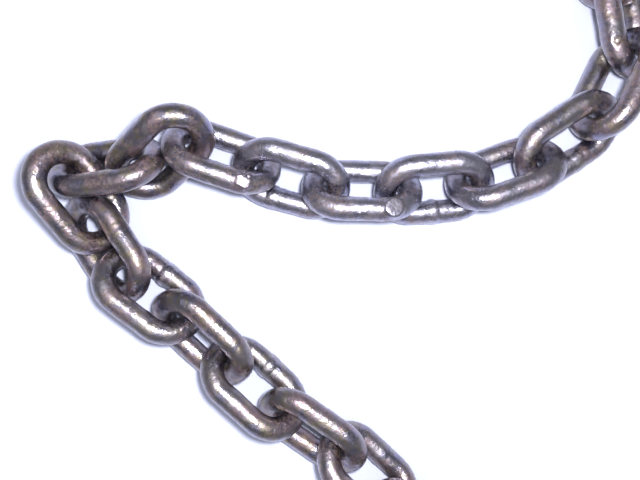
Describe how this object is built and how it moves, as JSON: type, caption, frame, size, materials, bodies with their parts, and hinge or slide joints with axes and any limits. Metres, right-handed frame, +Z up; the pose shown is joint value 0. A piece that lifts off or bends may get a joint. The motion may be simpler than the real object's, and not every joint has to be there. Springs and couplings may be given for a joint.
{
  "type": "length of welded steel chain",
  "caption": "Length of welded short-link steel chain laid on the floor in a sharp bend; each link leans and swings in its neighbours.",
  "frame": {"origin": "middle of the bounding box in plan, on the floor that the chain lies on", "axes": "+Z up from the floor; +Y along the chain's longest extent, from link_33's end towards link_01's end; +X to the right with +Y ahead, away from the sharp corner"},
  "size_m": [0.3606, 0.5918, 0.0343],
  "materials": {
    "chain_steel": "worn bare steel, dull grey-brown with rust in its pits and bright rubbed highlights"
  },
  "bodies": {
    "link_01": {"link_01": "chain_steel"},
    "link_02": {"link_02": "chain_steel"},
    "link_03": {"link_03": "chain_steel"},
    "link_04": {"link_04": "chain_steel"},
    "link_05": {"link_05": "chain_steel"},
    "link_06": {"link_06": "chain_steel"},
    "link_07": {"link_07": "chain_steel"},
    "link_08": {"link_08": "chain_steel"},
    "link_09": {"link_09": "chain_steel"},
    "link_10": {"link_10": "chain_steel"},
    "link_11": {"link_11": "chain_steel"},
    "link_12": {"link_12": "chain_steel"},
    "link_13": {"link_13": "chain_steel"},
    "link_14": {"link_14": "chain_steel"},
    "link_15": {"link_15": "chain_steel"},
    "link_16": {"link_16": "chain_steel"},
    "link_17": {"link_17": "chain_steel"},
    "link_18": {"link_18": "chain_steel"},
    "link_19": {"link_19": "chain_steel"},
    "link_20": {"link_20": "chain_steel"},
    "link_21": {"link_21": "chain_steel"},
    "link_22": {"link_22": "chain_steel"},
    "link_23": {"link_23": "chain_steel"},
    "link_24": {"link_24": "chain_steel"},
    "link_25": {"link_25": "chain_steel"},
    "link_26": {"link_26": "chain_steel"},
    "link_27": {"link_27": "chain_steel"},
    "link_28": {"link_28": "chain_steel"},
    "link_29": {"link_29": "chain_steel"},
    "link_30": {"link_30": "chain_steel"},
    "link_31": {"link_31": "chain_steel"},
    "link_32": {"link_32": "chain_steel"},
    "link_33": {"link_33": "chain_steel"}
  },
  "joints": [
    {"name": "swing_16", "type": "hinge", "parent": "link_17", "child": "link_16", "pos_m": [-0.11847, 0.00065, 0.01621], "axis": [0, 0, -1], "range_deg": [-8, 3]},
    {"name": "swing_15", "type": "hinge", "parent": "link_16", "child": "link_15", "pos_m": [-0.09019, -0.00947, 0.01318], "axis": [0, 0, 1], "range_deg": [-8, 6]},
    {"name": "swing_14", "type": "hinge", "parent": "link_15", "child": "link_14", "pos_m": [-0.06093, -0.01787, 0.01417], "axis": [0, 0, -1], "range_deg": [-7, 8]},
    {"name": "swing_13", "type": "hinge", "parent": "link_14", "child": "link_13", "pos_m": [-0.03058, -0.01907, 0.01251], "axis": [0, 0, 1], "range_deg": [-5, 8]},
    {"name": "swing_12", "type": "hinge", "parent": "link_13", "child": "link_12", "pos_m": [-0.0003, -0.01643, 0.01382], "axis": [0, 0, -1], "range_deg": [-7, 8]},
    {"name": "swing_11", "type": "hinge", "parent": "link_12", "child": "link_11", "pos_m": [0.028, -0.00583, 0.01233], "axis": [0, 0, 1], "range_deg": [-7, 7]},
    {"name": "swing_10", "type": "hinge", "parent": "link_11", "child": "link_10", "pos_m": [0.05266, 0.01136, 0.01561], "axis": [0, 0, -1], "range_deg": [-8, 8]},
    {"name": "swing_09", "type": "hinge", "parent": "link_10", "child": "link_09", "pos_m": [0.06698, 0.0386, 0.0126], "axis": [0, 0, 1], "range_deg": [-8, 8]},
    {"name": "swing_08", "type": "hinge", "parent": "link_09", "child": "link_08", "pos_m": [0.06156, 0.06848, 0.01331], "axis": [0, 0, -1], "range_deg": [-7, 7]},
    {"name": "swing_07", "type": "hinge", "parent": "link_08", "child": "link_07", "pos_m": [0.05249, 0.09736, 0.01331], "axis": [0, 0, 1], "range_deg": [-8, 5]},
    {"name": "swing_06", "type": "hinge", "parent": "link_07", "child": "link_06", "pos_m": [0.04132, 0.12557, 0.01331], "axis": [0, 0, -1], "range_deg": [-7, 8]},
    {"name": "swing_05", "type": "hinge", "parent": "link_06", "child": "link_05", "pos_m": [0.02839, 0.15306, 0.01331], "axis": [0, 0, 1], "range_deg": [-8, 8]},
    {"name": "swing_04", "type": "hinge", "parent": "link_05", "child": "link_04", "pos_m": [0.01434, 0.18001, 0.01331], "axis": [0, 0, -1], "range_deg": [-8, 8]},
    {"name": "swing_03", "type": "hinge", "parent": "link_04", "child": "link_03", "pos_m": [-0.00042, 0.20658, 0.01331], "axis": [0, 0, 1], "range_deg": [-8, 8]},
    {"name": "swing_02", "type": "hinge", "parent": "link_03", "child": "link_02", "pos_m": [-0.01563, 0.23291, 0.01331], "axis": [0, 0, -1], "range_deg": [-8, 8]},
    {"name": "swing_01", "type": "hinge", "parent": "link_02", "child": "link_01", "pos_m": [-0.03114, 0.25906, 0.01331], "axis": [0, 0, 1], "range_deg": [-8, 8]},
    {"name": "swing_18", "type": "hinge", "parent": "link_17", "child": "link_18", "pos_m": [-0.13658, -0.00703, 0.01712], "axis": [0, 0, -1], "range_deg": [-8, 1]},
    {"name": "swing_19", "type": "hinge", "parent": "link_18", "child": "link_19", "pos_m": [-0.17027, -0.00994, 0.02338], "axis": [0, 0, 1], "range_deg": [-8, 1]},
    {"name": "swing_20", "type": "hinge", "parent": "link_19", "child": "link_20", "pos_m": [-0.16164, -0.02987, 0.01153], "axis": [0, 0, -1], "range_deg": [-1, 8]},
    {"name": "swing_21", "type": "hinge", "parent": "link_20", "child": "link_21", "pos_m": [-0.14671, -0.05223, 0.01349], "axis": [0, 0, 1], "range_deg": [-8, 2]},
    {"name": "swing_22", "type": "hinge", "parent": "link_21", "child": "link_22", "pos_m": [-0.12364, -0.06949, 0.01405], "axis": [0, 0, -1], "range_deg": [-2, 8]},
    {"name": "swing_23", "type": "hinge", "parent": "link_22", "child": "link_23", "pos_m": [-0.10191, -0.09048, 0.01315], "axis": [0, 0, 1], "range_deg": [-5, 8]},
    {"name": "swing_24", "type": "hinge", "parent": "link_23", "child": "link_24", "pos_m": [-0.07906, -0.11036, 0.01334], "axis": [0, 0, -1], "range_deg": [-7, 8]},
    {"name": "swing_25", "type": "hinge", "parent": "link_24", "child": "link_25", "pos_m": [-0.05389, -0.12745, 0.01307], "axis": [0, 0, 1], "range_deg": [-8, 8]},
    {"name": "swing_26", "type": "hinge", "parent": "link_25", "child": "link_26", "pos_m": [-0.03149, -0.14802, 0.01331], "axis": [0, 0, -1], "range_deg": [-8, 8]},
    {"name": "swing_27", "type": "hinge", "parent": "link_26", "child": "link_27", "pos_m": [-0.00782, -0.16704, 0.01331], "axis": [0, 0, 1], "range_deg": [-8, 7]},
    {"name": "swing_28", "type": "hinge", "parent": "link_27", "child": "link_28", "pos_m": [0.01655, -0.1852, 0.01331], "axis": [0, 0, -1], "range_deg": [-8, 8]},
    {"name": "swing_29", "type": "hinge", "parent": "link_28", "child": "link_29", "pos_m": [0.04148, -0.20259, 0.01331], "axis": [0, 0, 1], "range_deg": [-8, 8]},
    {"name": "swing_30", "type": "hinge", "parent": "link_29", "child": "link_30", "pos_m": [0.06677, -0.21948, 0.01331], "axis": [0, 0, -1], "range_deg": [-8, 8]},
    {"name": "swing_31", "type": "hinge", "parent": "link_30", "child": "link_31", "pos_m": [0.09228, -0.23603, 0.01331], "axis": [0, 0, 1], "range_deg": [-8, 8]},
    {"name": "swing_32", "type": "hinge", "parent": "link_31", "child": "link_32", "pos_m": [0.11793, -0.25236, 0.01331], "axis": [0, 0, -1], "range_deg": [-8, 8]},
    {"name": "swing_33", "type": "hinge", "parent": "link_32", "child": "link_33", "pos_m": [0.14367, -0.26855, 0.01331], "axis": [0, 0, 1], "range_deg": [-8, 8]}
  ]
}
